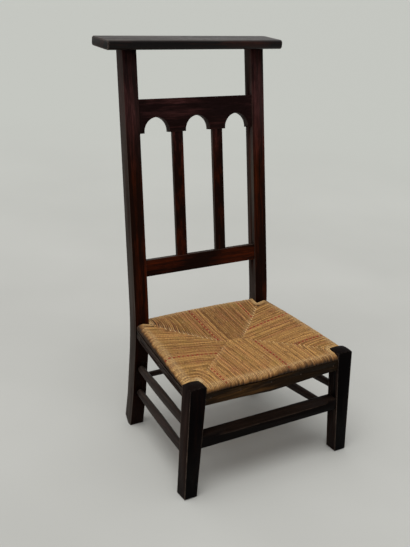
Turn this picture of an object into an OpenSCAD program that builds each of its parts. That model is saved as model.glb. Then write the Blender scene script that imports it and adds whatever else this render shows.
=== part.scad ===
// Prie-dieu: a low kneeling chair with a rush seat and a tall raked back.
// Millimetres. X runs across the chair, Y from its front to its back, and Z up.
// Until the last step Y is counted from the front face of the front legs' tops.

/* [Whole chair] */
// Height of the top of the elbow rest
overall_h = 900; // [870:5:940]
// Outside width across the tops of the front legs
front_w = 440; // [420:1:470]
// Outside width across the back posts
back_w = 379; // [360:1:400]
// Depth from the front legs to the back posts, front face to front face
seat_depth = 289; // [270:1:310]

/* [Front legs] */
// Height of a front leg
leg_h = 258.5; // [252:0.5:270]
// Width of a front leg at its top
leg_top_w = 40.5; // [36:0.5:44]
// Depth of a front leg at its top
leg_top_d = 33; // [31:0.5:38]
// Width of a front leg at its foot
leg_foot_w = 31; // [26:1:36]
// Depth of a front leg at its foot
leg_foot_d = 31.5; // [28:0.5:34]
// Distance that a foot stands forward of the leg's top
leg_splay = 19; // [10:1:24]
// Distance that a foot stands outward of the leg's top
leg_flare = 6; // [0:1:10]
// Chamfer round a leg's top, measured across
leg_top_chamfer = 3; // [1:0.5:6]
// Radius of the worn dome on a leg's top
leg_dome_r = 80; // [70:5:200]
// Chamfer round a leg's foot, measured across
leg_foot_chamfer = 3; // [1:0.5:5]

/* [Back posts] */
// Width of a back post, across the chair
post_w = 35; // [31:0.5:38]
// Thickness of a back post, front to back
post_t = 28; // [25:0.5:32]
// Rake of the back, in degrees from upright
back_rake = 11.4; // [8:0.1:13]
// Height at which the posts start to bend back
bend_h = 180; // [170:5:200]
// Height over which they bend
bend_rise = 140; // [120:5:160]
// Distance that the front of a post's foot is set back
foot_kick = 5.5; // [2:0.5:8]
// Distance that the heel stands out behind the post
heel_kick = 5; // [0:0.5:8]
// Height at which the foot's kick starts
kick_h = 80; // [50:5:84]
// Height of the heel's worn corner
heel_h = 17; // [8:1:24]
// Depth of the flat sole
sole_d = 12; // [8:0.5:16]

/* [Elbow rest] */
// Length of the elbow rest
rest_w = 465; // [430:5:520]
// Depth of the elbow rest
rest_d = 81; // [66:1:100]
// Thickness of the elbow rest
rest_t = 21; // [18:0.5:28]
// Distance that its front edge stands out before the posts
rest_overhang = 19; // [10:1:26]
// Radius of its front and back edges
rest_edge_r = 7; // [3:0.5:9]

/* [Back rails and slats] */
// Thickness of the arcaded rail and the cross rail
back_rail_t = 16; // [14:0.5:18]
// Distance that both rails are set back behind the posts' faces
back_rail_set = 2; // [0.5:0.5:4]
// Distance of the pendants' lower ends below the elbow rest's top
arcade_drop = 201; // [185:1:220]
// Width of the arcaded rail, measured up the rake
arcade_h = 75.5; // [66:0.5:84]
// Radius of an arch
arch_r = 33; // [28:0.5:38]
// Height of the arches' centres above the pendants' ends
arch_spring = 2; // [0.5:0.5:6]
// Distance between the centres of two arches
arch_pitch = 109; // [100:1:112]
// Number of arches
arch_count = 3; // [3:1:3]
// Height of the cross rail's lower edge, as a share of the overall height
cross_rail_share = 0.42; // [0.38:0.01:0.46]
// Width of the cross rail, measured up the rake
cross_rail_h = 38.5; // [30:0.5:46]
// Width of a slat
slat_w = 28; // [20:0.5:32]
// Thickness of a slat
slat_t = 8; // [5:0.5:9]
// Distance that the slats are set back behind the rails' faces
slat_set = 1.5; // [1:0.5:4.5]

/* [Stretchers and rungs] */
// Height of the front stretcher's lower edge
front_stretcher_foot_h = 112; // [108:0.5:120]
// Height of the front stretcher's section
front_stretcher_h = 29; // [24:0.5:32]
// Depth of the front stretcher's section
front_stretcher_d = 29; // [24:0.5:30]
// Wear along the front stretcher's top, measured down its face
stretcher_wear_h = 7.5; // [1:0.5:10]
// The same wear, measured back from its face
stretcher_wear_d = 18; // [12:1:22]
// Radius of the front stretcher's worn edges
front_stretcher_r = 3; // [1:0.5:8]
// Height of the back stretcher's centre
back_stretcher_h = 125.5; // [120:0.5:130]
// Diameter of the back stretcher at its middle
back_stretcher_d = 15; // [13:0.5:18]
// Diameter of the back stretcher at its ends
back_stretcher_end_d = 13; // [11:0.5:13]
// Height of the upper side rungs' centres
upper_rung_h = 155; // [150:1:160]
// Height of the lower side rungs' centres
lower_rung_h = 91.5; // [85:0.5:96]
// Diameter of a side rung at its middle
rung_d = 20; // [16:0.5:22]
// Diameter of a side rung at its ends
rung_end_d = 15; // [12:0.5:16]

/* [Seat frame] */
// Thickness of the four seat rails
seat_rail_t = 14; // [12:0.5:16]
// Height of the front seat rail's upper edge
front_rail_top = 245; // [242:0.5:248]
// Height of the front seat rail's section
front_rail_h = 28; // [24:0.5:30]
// Height of the side rails' upper edges at the front legs
side_rail_top = 248.5; // [246:0.5:251]
// Rise of the side rails from the front legs to the back posts
side_rail_rise = 16; // [12:0.5:18]
// Height of the side rails' section
side_rail_h = 20; // [18:0.5:22]
// Height of the back seat rail's upper edge
back_seat_rail_top = 264; // [258:0.5:268]
// Height of the back seat rail's section
back_seat_rail_h = 26; // [22:0.5:30]
// Distance that the back seat rail is set behind the posts' faces
back_seat_rail_set = 4; // [3:0.5:4.5]

/* [Rush seat] */
// Thickness of the rush on a rail
rush_t = 5.8; // [4.5:0.1:7]
// Radius of the rush's rolled edges
rush_roll_r = 9; // [6:0.5:9]
// Distance that the rolls stay behind the strips' faces
rush_roll_set = 0.5; // [0.5:0.1:2]
// Height of the seat's middle
rush_middle_h = 254; // [250:0.5:262]
// Thickness of the seat at its middle
rush_middle_t = 26; // [23:0.5:30]
// Length of the ridge where the front and back panels meet
rush_ridge = 37; // [20:1:60]
// Rise of the back and side edges towards their middles
rush_crown = 3.5; // [0:0.5:6]
// Depth of the valleys between the panels
rush_valley = 1.5; // [0.5:0.1:3]
// Thickness of a wad of stuffing
stuffing_t = 8; // [5:0.5:10]

/* [Strips] */
// Thickness of a strip
strip_t = 5; // [4:0.5:6]
// Distance of the front strip's face behind the legs' tops
front_strip_set = 0; // [0:0.5:2]
// Height of the front strip's lower edge
front_strip_foot_h = 210; // [206:0.5:214]
// Height of the front strip
front_strip_h = 29; // [24:0.5:32]
// Distance of a side strip's face inside the legs' outer faces
side_strip_set = 1; // [0.5:0.5:3]
// Height of a side strip
side_strip_h = 17.5; // [14:0.5:19]
// Height of a side strip's lower edge at the front leg
side_strip_foot_h = 222; // [220:0.5:224]
// Rise of a side strip from the front leg to the back post
side_strip_rise = 18; // [15:0.5:20]

/* [Joints] */
// Length of the back rails' tenons
rail_tenon_l = 22; // [16:1:26]
// Thickness of the back rails' tenons
rail_tenon_t = 8; // [6:0.5:9]
// Shoulder above and below a back rail's tenon
rail_shoulder = 6; // [4:0.5:9]
// Depth that a slat's ends are housed
slat_tenon_l = 10; // [6:0.5:14]
// Height of the tenon on a post's top
post_tenon_h = 13; // [8:0.5:15]
// Width of the tenon on a post's top
post_tenon_w = 20; // [14:0.5:24]
// Thickness of the tenon on a post's top
post_tenon_t = 13; // [10:0.5:15]
// Diameter of the front and back seat rails' tenons
seat_tenon_d = 9; // [8:0.5:10]
// Length of the front and back seat rails' tenons
seat_tenon_l = 9; // [7:0.5:9]
// Length of the side seat rails' tenons
side_tenon_l = 8; // [6:0.5:8.5]
// Length of the rungs' and the stretchers' tenons
rung_tenon_l = 15; // [12:0.5:18]
// Height of the front stretcher's tenons
stretcher_tenon_h = 13; // [10:0.5:15]
// Depth of the front stretcher's tenons
stretcher_tenon_d = 14; // [10:0.5:16]
// Clearance all round a wooden joint
joint_gap = 0.15; // [0.1:0.05:0.3]
// Clearance round the rush and the stuffing
soft_gap = 0.3; // [0.2:0.05:0.5]

/* [Nails] */
// Diameter of a nail's head, which is sunk level with the strip's face
nail_head_d = 3.4; // [3:0.1:5]
// Thickness of a nail's head
nail_head_h = 1; // [0.8:0.1:1.6]
// Diameter of a nail's shank
nail_d = 1.8; // [1.4:0.1:2.4]
// Length of a nail's shank
nail_l = 22; // [18:1:23]
// Clearance round a nail's shank
nail_gap = 0.1; // [0.05:0.05:0.2]

/* [Hidden] */

$fn = 48;

// How far a cutter runs past what it cuts
overrun = 2;

// Shades of the stained wood, the bare strip, the rush and the nails
wood_colour = "#2b1a16";
strip_colour = "#4a3623";
rush_colour = "#b48f5b";
stuffing_colour = "#9c8350";
nail_colour = "#3a3835";

// The side line of the chair: the outer faces of the legs and posts, less an inset
function side_x(y, inset) = front_w / 2 + (back_w - front_w) / 2 * y / seat_depth - inset;

// The back posts: front face of the bend and of the raked length
bend_r = bend_rise / sin(back_rake);
bend_steps = 8;
bend_top_h = bend_h + bend_rise;
bend_top_y = seat_depth + bend_r * (1 - cos(back_rake));
post_top_h = overall_h - rest_t;
arcade_foot_h = overall_h - arcade_drop;
cross_rail_foot_h = overall_h * cross_rail_share;
post_inner_x = back_w / 2 - post_w;
post_mid_x = back_w / 2 - post_w / 2;
function raked_y(h) = bend_top_y + (h - bend_top_h) * tan(back_rake);
function bent_y(h) = seat_depth + bend_r * (1 - cos(asin((h - bend_h) / bend_r)));
function post_front_y(h) = h > bend_top_h ? raked_y(h) : h > bend_h ? bent_y(h) : seat_depth;
post_cut_t = post_t / cos(back_rake);

// The front legs: straight lines from top to foot
function leg_share(h) = (leg_h - h) / leg_h;
function leg_outer_x(h) = front_w / 2 + leg_flare * leg_share(h);
function leg_inner_x(h) = leg_outer_x(h) - leg_top_w + (leg_top_w - leg_foot_w) * leg_share(h);
function leg_front_y(h) = -leg_splay * leg_share(h);
function leg_back_y(h) = leg_front_y(h) + leg_top_d + (leg_foot_d - leg_top_d) * leg_share(h);
function leg_mid_x(h) = (leg_outer_x(h) + leg_inner_x(h)) / 2;
function leg_mid_y(h) = (leg_front_y(h) + leg_back_y(h)) / 2;
leg_chamfer_rise_share = 0.6;

// Where the chair stands: its middle, front to back, is the origin
rest_front_y = raked_y(post_top_h) - rest_overhang;
chair_front_y = leg_front_y(0);
chair_back_y = rest_front_y + rest_d;
chair_mid_y = (chair_front_y + chair_back_y) / 2;

// The layers from a strip's face to a seat rail's middle
rush_inset = strip_t + soft_gap;
rail_inset = rush_inset + rush_t + soft_gap + seat_rail_t / 2;
front_rail_y = front_strip_set + rail_inset;
front_rail_mid_h = front_rail_top - front_rail_h / 2;
back_rail_mid_h = back_seat_rail_top - back_seat_rail_h / 2;
back_rail_y = post_front_y(back_rail_mid_h) + back_seat_rail_set + seat_rail_t / 2;
side_rail_mid_h = side_rail_top - side_rail_h / 2;
// The front and back rails' tenons sit towards the outside, clear of the side rails' tenons
front_tenon_y = front_rail_y - (seat_rail_t - seat_tenon_d) / 2;
back_tenon_y = back_rail_y + (seat_rail_t - seat_tenon_d) / 2;

// The rush seat's outline and the heights of its upper and lower faces
rush_front_y = front_strip_set + rush_inset;
rush_back_y = back_rail_y + seat_rail_t / 2 + soft_gap + rush_t;
rush_mid_y = (rush_front_y + rush_back_y) / 2;
rush_half_d = (rush_back_y - rush_front_y) / 2;
rush_side_inset = side_strip_set + rush_inset;
rush_wrap = rush_t + soft_gap;
side_run_start_y = leg_back_y(side_rail_mid_h);
function side_rail_share(y) = (y - side_run_start_y) / (seat_depth - side_run_start_y);
function side_top(y) = side_rail_top + side_rail_rise * side_rail_share(y) + rush_wrap;
function side_foot(y) = side_top(y) - side_rail_h - 2 * rush_wrap;
function end_top(v) = (v < 0 ? front_rail_top : back_seat_rail_top) + rush_wrap;
function end_foot(v) = end_top(v) - (v < 0 ? front_rail_h : back_seat_rail_h) - 2 * rush_wrap;

// Stations across the rush: a share of the way from the middle to the roll, and the roll's angle
flat_shares = [0, 0.2, 0.4, 0.6, 0.8, 1];
roll_angles = [30, 60, 90];
half_stations = concat([for (s = flat_shares) [s, 0]], [for (a = roll_angles) [1, a]]);
function reversed(list) = [for (i = [len(list) - 1:-1:0]) list[i]];
function without_first(list) = [for (i = [1:len(list) - 1]) list[i]];
function signed(list, sign) = [for (s = list) [sign, s[0], s[1]]];
across = concat(signed(reversed(half_stations), -1), signed(half_stations, 1));
along_y = concat(signed(reversed(half_stations), -1), signed(without_first(half_stations), 1));
dish_power = 1.6;

// The upper face's roll reaches out over the strips by this much more than the lower face's
roll_reach = rush_inset - rush_roll_set;
function rush_y(v, reach) =
    let (roll = rush_roll_r + (v[0] < 0 ? reach : 0))
    rush_mid_y + v[0] * (v[1] * (rush_half_d - rush_roll_r) + roll * sin(v[2]));
function rush_x(u, y, reach) =
    let (half = side_x(y, rush_side_inset) - rush_roll_r)
    u[0] * (rush_ridge / 2 + u[1] * (half - rush_ridge / 2) + (rush_roll_r + reach) * sin(u[2]));
function drop(s) = rush_roll_r * (1 - cos(s[2]));
function edge_height(u, v, side, end) = u[1] > v[1] ? side : u[1] < v[1] ? end : (side + end) / 2;
function crown(u, v) =
    u[1] == v[1] || (u[1] < v[1] && v[0] < 0)
        ? 0
        : rush_crown * (1 - pow(min(u[1], v[1]) / max(u[1], v[1]), 2));
function on_valley(u, v) = u[1] == v[1] && u[1] > 0 && u[2] == 0 && v[2] == 0 ? rush_valley : 0;
function dished(u, v, middle, edge) = middle + (edge - middle) * pow(max(u[1], v[1]), dish_power);
function rush_top(u, v) =
    let (y = rush_y(v, 0), edge = edge_height(u, v, side_top(y), end_top(v[0])))
    dished(u, v, rush_middle_h, edge + crown(u, v)) - max(drop(u), drop(v)) - on_valley(u, v);
function rush_foot(u, v) =
    let (y = rush_y(v, 0), edge = edge_height(u, v, side_foot(y), end_foot(v[0])))
    dished(u, v, rush_middle_h - rush_middle_t, edge) + max(drop(u), drop(v)) + on_valley(u, v);

// The pockets in the rush, one under each panel, and how the seat's middle layer slopes
pocket_outer_share = 0.8;
pocket_inner_share = 0.22;
pocket_web_share = 0.09;
function end_middle(v) = (end_top(v) + end_foot(v)) / 2;
seat_slope = atan((end_middle(1) - end_middle(-1)) / (back_rail_y - front_rail_y));
pocket_mid_h = (end_middle(1) + end_middle(-1)) / 2;

// The strips' worn edges: where along the front strip and how far from straight, as shares
front_strip_edge_shares = [
    [-1, 0.06], [-0.8, 0], [-0.5, -0.06], [-0.2, -0.18], [0.08, -0.02], [0.4, 0.06], [0.7, 0.02], [1, 0.02],
];
side_strip_power = 1.7;
front_strip_foot_shares = [
    [-1, 0.06], [-0.5, -0.02], [-0.05, -0.18], [0.35, -0.07], [0.65, 0.04], [1, 0.14],
];

// The nails: where they stand along each strip, and how far up it, as shares
front_nail_shares = [-0.92, -0.5, -0.05, 0.4, 0.92];
side_nail_shares = [0.06, 0.5, 0.94];
front_nail_drop_share = 0.6;
front_nail_h = front_rail_top - front_rail_h * front_nail_drop_share;
nail_hole_r = nail_d / 2 + nail_gap;
rush_hole_sides = 8;

// Shared shapes

module in_place() {
    translate([0, -chair_mid_y, 0])
        children();
}

module both_sides() {
    children();
    mirror([1, 0, 0])
        children();
}

module along_x(length) {
    rotate([90, 0, 90])
        linear_extrude(length, center = true)
            children();
}

module through_y(depth) {
    rotate([90, 0, 0])
        linear_extrude(depth, center = true)
            children();
}

// Stands children on the line from a to b, with their Z along it and their X down
module on_line(a, b) {
    d = b - a;
    translate(a)
        rotate([0, acos(d[2] / norm(d)), atan2(d[1], d[0])])
            children();
}

// Tilts children to the rake, at height h on the posts' front faces
module on_rake(h) {
    translate([0, raked_y(h), h])
        rotate([-back_rake, 0, 0])
            children();
}

// A rectangle with round corners, centred
module soft_rectangle(size, r) {
    square([size[0] - 2 * r, size[1]], center = true);
    square([size[0], size[1] - 2 * r], center = true);
    for (x = [-1, 1], y = [-1, 1])
        translate([x * (size[0] / 2 - r), y * (size[1] / 2 - r)])
            circle(r);
}

// Front legs

// An outline that narrows from its foot to its top, chamfered at both ends
module tapered_outline(foot, top, grow) {
    rise = leg_chamfer_rise_share;
    top_c = grow > 0 ? 0 : leg_top_chamfer;
    foot_c = grow > 0 ? 0 : leg_foot_chamfer;
    polygon([
        [foot[0] + foot_c - grow, 0],
        [foot[1] - foot_c + grow, 0],
        [foot[1] + grow, foot_c * rise],
        [top[1] + grow, leg_h - top_c * rise],
        [top[1] - top_c + grow, leg_h],
        [top[0] + top_c - grow, leg_h],
        [top[0] - grow, leg_h - top_c * rise],
        [foot[0] - grow, foot_c * rise],
    ]);
}

function leg_xs(h) = [leg_inner_x(h), leg_outer_x(h)];
function leg_ys(h) = [leg_front_y(h), leg_back_y(h)];

module leg_blank(grow = 0) {
    intersection() {
        through_y(seat_depth)
            tapered_outline(leg_xs(0), leg_xs(leg_h), grow);
        along_x(2 * front_w)
            tapered_outline(leg_ys(0), leg_ys(leg_h), grow);
    }
}

// What is worn off a leg's top, to leave a low dome
module leg_top_wear() {
    reach = leg_top_w;
    drop = leg_dome_r - sqrt(pow(leg_dome_r, 2) - pow(reach, 2));
    translate([leg_mid_x(leg_h), leg_mid_y(leg_h), leg_h])
        difference() {
            translate([0, 0, -drop])
                cylinder(h = drop + overrun, r = reach);
            translate([0, 0, -leg_dome_r])
                sphere(leg_dome_r);
        }
}

module front_leg() {
    color(wood_colour)
        difference() {
            leg_blank();
            leg_top_wear();
            front_rail_tenon(joint_gap);
            side_rail_tenons(joint_gap);
            front_stretcher_tenon(joint_gap);
            rung_at(upper_rung_h, joint_gap);
            rung_at(lower_rung_h, joint_gap);
        }
}

module front_leg_right() {
    in_place()
        front_leg();
}

module front_leg_left() {
    in_place()
        mirror([1, 0, 0])
            front_leg();
}

// Back posts

// The side view of a post: front edge from the sole to the top, then back down to the heel
function bend_points(offset) = [
    for (i = [0:bend_steps])
        let (a = back_rake * i / bend_steps)
        [seat_depth + bend_r - (bend_r - offset) * cos(a), bend_h + (bend_r - offset) * sin(a)]
];

module post_outline(grow) {
    front = [
        [seat_depth + foot_kick - grow, 0],
        [seat_depth - grow, kick_h],
        each bend_points(-grow),
        [raked_y(post_top_h) - grow, post_top_h],
    ];
    back = [
        [raked_y(post_top_h) + post_cut_t + grow, post_top_h],
        each reversed(bend_points(post_t + grow)),
        [seat_depth + post_t + grow, kick_h],
        [seat_depth + post_t + heel_kick + grow, heel_h],
        [seat_depth + foot_kick + sole_d + grow, 0],
    ];
    polygon(concat(front, back));
}

module post_blank(grow = 0) {
    translate([post_mid_x, 0, 0])
        along_x(post_w + 2 * grow)
            post_outline(grow);
}

module post_tenon(gap) {
    size = [post_tenon_w + 2 * gap, post_tenon_t + 2 * gap, post_tenon_h + gap + overrun];
    translate([post_mid_x, raked_y(post_top_h) + post_cut_t / 2, post_top_h + size[2] / 2 - overrun])
        cube(size, center = true);
}

module back_post() {
    color(wood_colour)
        difference() {
            union() {
                post_blank();
                post_tenon(0);
            }
            arcade_tenons(joint_gap);
            cross_rail_tenons(joint_gap);
            back_seat_rail_tenon(joint_gap);
            back_stretcher_tenon(joint_gap);
            side_rail_tenons(joint_gap);
            rung_at(upper_rung_h, joint_gap);
            rung_at(lower_rung_h, joint_gap);
        }
}

module back_post_right() {
    in_place()
        back_post();
}

module back_post_left() {
    in_place()
        mirror([1, 0, 0])
            back_post();
}

// Elbow rest

module elbow_rest() {
    color(wood_colour)
        in_place()
            difference() {
                translate([0, rest_front_y + rest_d / 2, overall_h - rest_t / 2])
                    along_x(rest_w)
                        soft_rectangle([rest_d, rest_t], rest_edge_r);
                both_sides()
                    post_tenon(joint_gap);
            }
}

// Arcaded rail, cross rail and slats

back_rail_w = 2 * (post_inner_x - joint_gap);
slat_places = [for (i = [0:arch_count - 2]) (i - (arch_count - 2) / 2) * arch_pitch];
slat_run = (arcade_foot_h - cross_rail_foot_h) / cos(back_rake) - cross_rail_h;
arch_sides = 96;

// A board across the back, whose lower edge is at the origin of the rake
module back_board(height) {
    translate([-back_rail_w / 2, back_rail_set, 0])
        cube([back_rail_w, back_rail_t, height]);
}

module board_tenons(height, gap) {
    length = back_rail_w + 2 * rail_tenon_l;
    size = [length + 2 * gap, rail_tenon_t + 2 * gap, height - 2 * rail_shoulder + 2 * gap];
    translate([0, back_rail_set + back_rail_t / 2, height / 2])
        cube(size, center = true);
}

module arcade_tenons(gap) {
    on_rake(arcade_foot_h)
        board_tenons(arcade_h, gap);
}

module cross_rail_tenons(gap) {
    on_rake(cross_rail_foot_h)
        board_tenons(cross_rail_h, gap);
}

module slat(gap) {
    size = [slat_w + 2 * gap, slat_t + 2 * gap, slat_run + 2 * slat_tenon_l + 2 * gap];
    on_rake(cross_rail_foot_h)
        translate([0, back_rail_set + slat_set + slat_t / 2, cross_rail_h + slat_run / 2])
            cube(size, center = true);
}

module slats(gap) {
    for (x = slat_places)
        translate([x, 0, 0])
            slat(gap);
}

// A round arch on short straight sides
module arch_outline() {
    translate([0, arch_spring])
        circle(arch_r, $fn = arch_sides);
    translate([-arch_r, -overrun])
        square([2 * arch_r, arch_spring + overrun]);
}

module arches() {
    for (i = [0:arch_count - 1])
        translate([(i - (arch_count - 1) / 2) * arch_pitch, back_rail_set + back_rail_t / 2, 0])
            through_y(back_rail_t + 2 * overrun)
                arch_outline();
}

module arcaded_rail() {
    color(wood_colour)
        in_place()
            difference() {
                union() {
                    on_rake(arcade_foot_h)
                        back_board(arcade_h);
                    arcade_tenons(0);
                }
                on_rake(arcade_foot_h)
                    arches();
                slats(joint_gap);
            }
}

module cross_rail() {
    color(wood_colour)
        in_place()
            difference() {
                union() {
                    on_rake(cross_rail_foot_h)
                        back_board(cross_rail_h);
                    cross_rail_tenons(0);
                }
                slats(joint_gap);
            }
}

module back_slat(i) {
    color(wood_colour)
        in_place()
            translate([slat_places[i], 0, 0])
                slat(0);
}

module back_slat_left() {
    back_slat(0);
}

module back_slat_right() {
    back_slat(1);
}

// Front stretcher

front_stretcher_mid_h = front_stretcher_foot_h + front_stretcher_h / 2;
front_stretcher_w = 2 * leg_inner_x(front_stretcher_mid_h);

module front_stretcher_tenon(gap) {
    length = front_stretcher_w + 2 * rung_tenon_l;
    size = [length + 2 * gap, stretcher_tenon_d + 2 * gap, stretcher_tenon_h + 2 * gap];
    translate([0, leg_mid_y(front_stretcher_mid_h), front_stretcher_mid_h])
        cube(size, center = true);
}

// How far down its face the stretcher is worn, at a share of the way from its middle to a leg
wear_steps = 10;
wear_power = 6;
wear_wave_share = 0.12;
wear_waves = 1.5;
function worn(share) =
    stretcher_wear_h * (1 - pow(abs(share), wear_power)) * (1 + wear_wave_share * sin(360 * wear_waves * share));

// What feet have worn off: all above a wavy line on the front face, sloping up to the back
module stretcher_wear() {
    slope = atan(stretcher_wear_h / stretcher_wear_d);
    reach = front_stretcher_d / cos(slope);
    half = front_stretcher_w / 2;
    line = [
        for (i = [-wear_steps:wear_steps])
            let (share = i / wear_steps)
            [share * half, -worn(share) * cos(slope)]
    ];
    front_y = leg_mid_y(front_stretcher_mid_h) - front_stretcher_d / 2;
    translate([0, front_y, front_stretcher_foot_h + front_stretcher_h])
        rotate([90 + slope, 0, 0])
            translate([0, 0, -reach])
                linear_extrude(reach + overrun)
                    polygon(concat(line, [[half, front_stretcher_h], [-half, front_stretcher_h]]));
}

module front_stretcher() {
    color(wood_colour)
        in_place() {
            difference() {
                translate([0, leg_mid_y(front_stretcher_mid_h), front_stretcher_mid_h])
                    along_x(front_stretcher_w + 2 * overrun)
                        soft_rectangle([front_stretcher_d, front_stretcher_h], front_stretcher_r);
                both_sides()
                    leg_blank(joint_gap);
                stretcher_wear();
            }
            front_stretcher_tenon(0);
        }
}

// Round rungs and the back stretcher

rung_steps = 6;

// A round bar that swells from its ends to its middle, standing on its end
module rung_bar(length, end_d, middle_d, grow = 0) {
    rotate_extrude()
        polygon([
            [0, -grow],
            for (i = [0:rung_steps])
                let (share = i / rung_steps, swell = (middle_d - end_d) / 2 * sin(180 * share))
                [end_d / 2 + grow + swell, (length + 2 * grow) * share - grow],
            [0, length + grow],
        ]);
}

module back_stretcher_at(grow, middle_d) {
    length = 2 * (post_inner_x + rung_tenon_l);
    translate([-length / 2, seat_depth + post_t / 2, back_stretcher_h])
        rotate([0, 90, 0])
            rung_bar(length, back_stretcher_end_d, middle_d, grow);
}

module back_stretcher_tenon(gap) {
    back_stretcher_at(gap, back_stretcher_d);
}

module back_stretcher() {
    color(wood_colour)
        in_place()
            back_stretcher_at(0, back_stretcher_d);
}

function rung_start(h) = [leg_mid_x(h), leg_back_y(h), h];
function rung_end(h) = [post_mid_x, seat_depth, h];

module rung_at(h, grow) {
    a = rung_start(h);
    b = rung_end(h);
    on_line(a, b)
        translate([0, 0, -rung_tenon_l])
            rung_bar(norm(b - a) + 2 * rung_tenon_l, rung_end_d, rung_d, grow);
}

module side_rung(h) {
    color(wood_colour)
        rung_at(h, 0);
}

module upper_rung_right() {
    in_place()
        side_rung(upper_rung_h);
}

module upper_rung_left() {
    in_place()
        mirror([1, 0, 0])
            side_rung(upper_rung_h);
}

module lower_rung_right() {
    in_place()
        side_rung(lower_rung_h);
}

module lower_rung_left() {
    in_place()
        mirror([1, 0, 0])
            side_rung(lower_rung_h);
}

// Seat rails

rail_edge_share = 0.25;
rail_edge_r = seat_rail_t * rail_edge_share;

module round_tenon(length, gap) {
    translate([0, 0, -length - gap])
        cylinder(h = length + gap + overrun, d = seat_tenon_d + 2 * gap);
}

module front_rail_tenon(gap) {
    x = leg_inner_x(front_rail_mid_h);
    translate([x, front_tenon_y, front_rail_mid_h])
        rotate([0, -90, 0])
            round_tenon(seat_tenon_l, gap);
}

module back_seat_rail_tenon(gap) {
    translate([post_inner_x, back_tenon_y, back_rail_mid_h])
        rotate([0, -90, 0])
            round_tenon(seat_tenon_l, gap);
}

module front_rail_bar(grow) {
    translate([0, front_rail_y, front_rail_mid_h])
        along_x(2 * leg_inner_x(0))
            soft_rectangle([seat_rail_t + 2 * grow, front_rail_h + 2 * grow], rail_edge_r + grow);
}

module seat_rail_front() {
    color(wood_colour)
        in_place() {
            difference() {
                front_rail_bar(0);
                both_sides()
                    leg_blank(joint_gap);
                nail_holes();
            }
            both_sides()
                front_rail_tenon(0);
        }
}

module back_rail_bar(grow) {
    translate([0, back_rail_y, back_rail_mid_h])
        along_x(back_rail_w)
            soft_rectangle([seat_rail_t + 2 * grow, back_seat_rail_h + 2 * grow], rail_edge_r + grow);
}

module seat_rail_back() {
    color(wood_colour)
        in_place() {
            back_rail_bar(0);
            both_sides()
                back_seat_rail_tenon(0);
        }
}

side_rail_inset = side_strip_set + rail_inset;
side_rail_start_y = leg_back_y(side_rail_mid_h);
side_rail_end_y = post_front_y(side_rail_mid_h + side_rail_rise);
side_rail_a = [side_x(side_rail_start_y, side_rail_inset), side_rail_start_y, side_rail_mid_h];
side_rail_b = [side_x(side_rail_end_y, side_rail_inset), side_rail_end_y, side_rail_mid_h + side_rail_rise];

module side_rail_bar(grow) {
    length = norm(side_rail_b - side_rail_a);
    on_line(side_rail_a, side_rail_b)
        translate([0, 0, length / 2])
            linear_extrude(length + 4 * overrun, center = true)
                soft_rectangle([side_rail_h + 2 * grow, seat_rail_t + 2 * grow], rail_edge_r + grow);
}

module side_rail_tenons(gap) {
    length = norm(side_rail_b - side_rail_a) + 2 * (side_tenon_l + gap);
    on_line(side_rail_a, side_rail_b)
        translate([0, 0, -side_tenon_l - gap])
            cylinder(h = length, d = seat_tenon_d + 2 * gap);
}

module side_seat_rail() {
    color(wood_colour) {
        difference() {
            side_rail_bar(0);
            leg_blank(joint_gap);
            post_blank(joint_gap);
            nail_holes();
        }
        side_rail_tenons(0);
    }
}

module seat_rail_right() {
    in_place()
        side_seat_rail();
}

module seat_rail_left() {
    in_place()
        mirror([1, 0, 0])
            side_seat_rail();
}

// Rush seat: two sheets of points, upper and lower, joined round their edge

rush_cols = len(across);
rush_rows = len(along_y);

function sheet(upper) = [
    for (v = along_y, u = across)
        let (reach = upper ? roll_reach : 0, y = rush_y(v, reach))
        [rush_x(u, y, reach), y, upper ? rush_top(u, v) : rush_foot(u, v)]
];

// Each cell is split along the line that runs towards the seat's middle
function cell_faces(i, j, base, upper) =
    let (
        a = base + j * rush_cols + i,
        b = a + 1,
        c = a + rush_cols + 1,
        d = a + rush_cols,
        outward = (i < rush_cols / 2 - 0.5) == (j < (rush_rows - 1) / 2),
        pair = outward ? [[a, c, b], [a, d, c]] : [[a, d, b], [b, d, c]]
    )
    upper ? pair : [for (f = pair) reversed(f)];

function edge_loop() = concat(
    [for (i = [0:rush_cols - 1]) i],
    [for (j = [1:rush_rows - 1]) j * rush_cols + rush_cols - 1],
    [for (i = [rush_cols - 2:-1:0]) (rush_rows - 1) * rush_cols + i],
    [for (j = [rush_rows - 2:-1:1]) j * rush_cols]
);

// The line under the rolls, where the rush turns in behind the strips
function under_roll(top, foot, v) =
    let (
        end_target = v[0] < 0 ? front_strip_top(foot[0]) : top[2] - rush_t,
        target = v[2] < 90 ? side_strip_top(foot[1]) : end_target
    )
    [foot[0], foot[1], min(target + soft_gap, top[2] - soft_gap)];

module rush_body() {
    count = rush_cols * rush_rows;
    loop = edge_loop();
    turns = len(loop);
    upper = sheet(true);
    lower = sheet(false);
    ring = [for (k = loop) under_roll(upper[k], lower[k], along_y[floor(k / rush_cols)])];
    walls = [
        for (k = [0:turns - 1])
            let (n = (k + 1) % turns, p = loop[k], q = loop[n], a = 2 * count + k, b = 2 * count + n)
            each [[p, q, a], [q, b, a], [a, b, p + count], [b, q + count, p + count]]
    ];
    cells = [
        for (j = [0:rush_rows - 2], i = [0:rush_cols - 2])
            each concat(cell_faces(i, j, 0, true), cell_faces(i, j, count, false))
    ];
    polyhedron(points = concat(upper, lower, ring), faces = concat(walls, cells), convexity = 6);
}

// A pocket's outline: a flat station share and a side, to a point of the seat's plan
function pocket_point(u, v) =
    let (y = rush_mid_y + v * (rush_half_d - rush_roll_r), half = side_x(y, rush_side_inset) - rush_roll_r)
    [sign(u) * (rush_ridge / 2 + abs(u) * (half - rush_ridge / 2)), y - rush_mid_y];

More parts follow.
